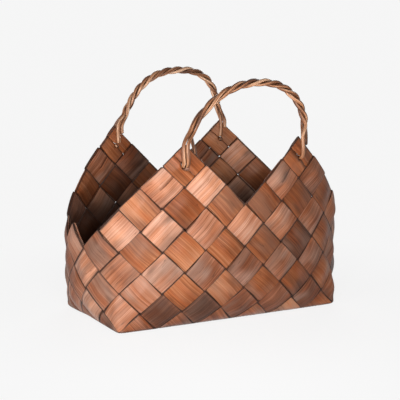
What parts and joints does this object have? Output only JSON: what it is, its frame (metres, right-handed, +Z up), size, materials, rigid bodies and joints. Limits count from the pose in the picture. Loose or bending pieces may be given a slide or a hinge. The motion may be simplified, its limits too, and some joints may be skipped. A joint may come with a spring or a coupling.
{
  "type": "woven magazine basket",
  "caption": "Open basket plaited on the bias from broad flat strips, with a zigzag rim and arched handles of twisted rods that tilt a little in their eyes; holds magazines.",
  "frame": {"origin": "centre of the base, on the surface that the basket stands on", "axes": "+X along the length, to the right in the picture; +Y from front to back; +Z up"},
  "size_m": [0.461, 0.2918, 0.3923],
  "materials": {
    "warp_strip": "bark strip, satin, fine grain along the strip",
    "weft_strip": "bark strip, satin, fine grain along the strip",
    "handle_rod": "split rod, matt to satin"
  },
  "bodies": {
    "basket": {"warp_strip_1": "warp_strip", "warp_strip_2": "warp_strip", "warp_strip_3": "warp_strip", "warp_strip_4": "warp_strip", "warp_strip_5": "warp_strip", "warp_strip_6": "warp_strip", "warp_strip_7": "warp_strip", "warp_strip_8": "warp_strip", "warp_strip_9": "warp_strip", "weft_strip_1": "weft_strip", "weft_strip_2": "weft_strip", "weft_strip_3": "weft_strip", "weft_strip_4": "weft_strip", "weft_strip_5": "weft_strip", "weft_strip_6": "weft_strip", "weft_strip_7": "weft_strip", "weft_strip_8": "weft_strip", "weft_strip_9": "weft_strip"},
    "front_handle": {"front_handle_rod_1": "handle_rod", "front_handle_rod_2": "handle_rod", "front_handle_rod_3": "handle_rod"},
    "back_handle": {"back_handle_rod_1": "handle_rod", "back_handle_rod_2": "handle_rod", "back_handle_rod_3": "handle_rod"}
  },
  "joints": [
    {"name": "front_handle_tilt", "type": "hinge", "parent": "basket", "child": "front_handle", "pos_m": [0, -0.1328, 0.262], "axis": [1, 0, 0], "range_deg": [-6, 6]},
    {"name": "back_handle_tilt", "type": "hinge", "parent": "basket", "child": "back_handle", "pos_m": [0, 0.1328, 0.262], "axis": [1, 0, 0], "range_deg": [-6, 6]}
  ]
}
